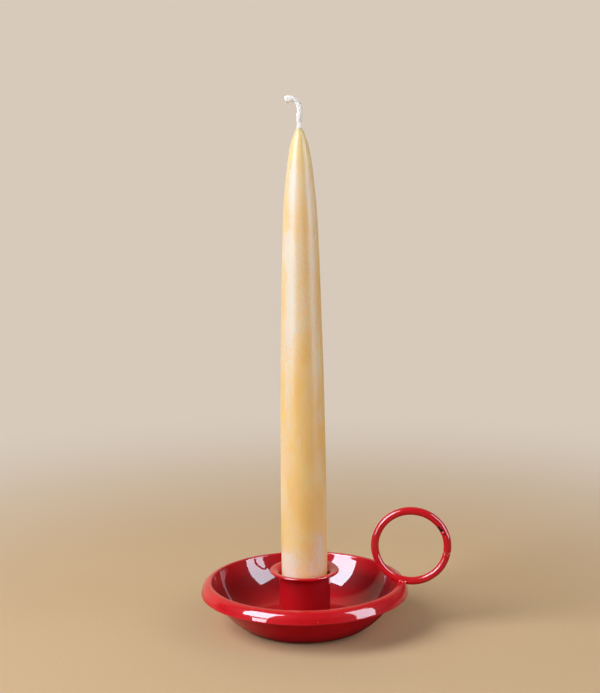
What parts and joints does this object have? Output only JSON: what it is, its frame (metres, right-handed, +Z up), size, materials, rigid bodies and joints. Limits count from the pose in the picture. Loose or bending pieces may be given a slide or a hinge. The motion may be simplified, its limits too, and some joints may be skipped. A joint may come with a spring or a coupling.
{
  "type": "chamberstick with finger loop",
  "caption": "Low candle holder: a round drip dish with a turned-over rim, a flared candle cup in the middle and a finger ring on the rim, holding a tapered candle.",
  "frame": {"origin": "middle of the dish's flat underside, on the surface it stands on", "axes": "+Z up along the candle, +X from the candle towards the finger ring"},
  "size_m": [0.1205, 0.0998, 0.2538],
  "materials": {
    "red_enamel": "glossy red coat over steel",
    "beeswax": "satin wax with pale bloom",
    "cotton": "braided, matte"
  },
  "bodies": {
    "holder": {"dish": "red_enamel", "candle_socket": "red_enamel", "socket_weld": "red_enamel", "finger_ring": "red_enamel", "ring_seam_weld": "red_enamel", "ring_weld": "red_enamel"},
    "candle": {"candle": "beeswax", "wick": "cotton"}
  },
  "joints": [
    {"name": "candle_lift", "type": "slide", "parent": "holder", "child": "candle", "axis": [0, 0, 1], "range_m": [0, 0.06]}
  ]
}
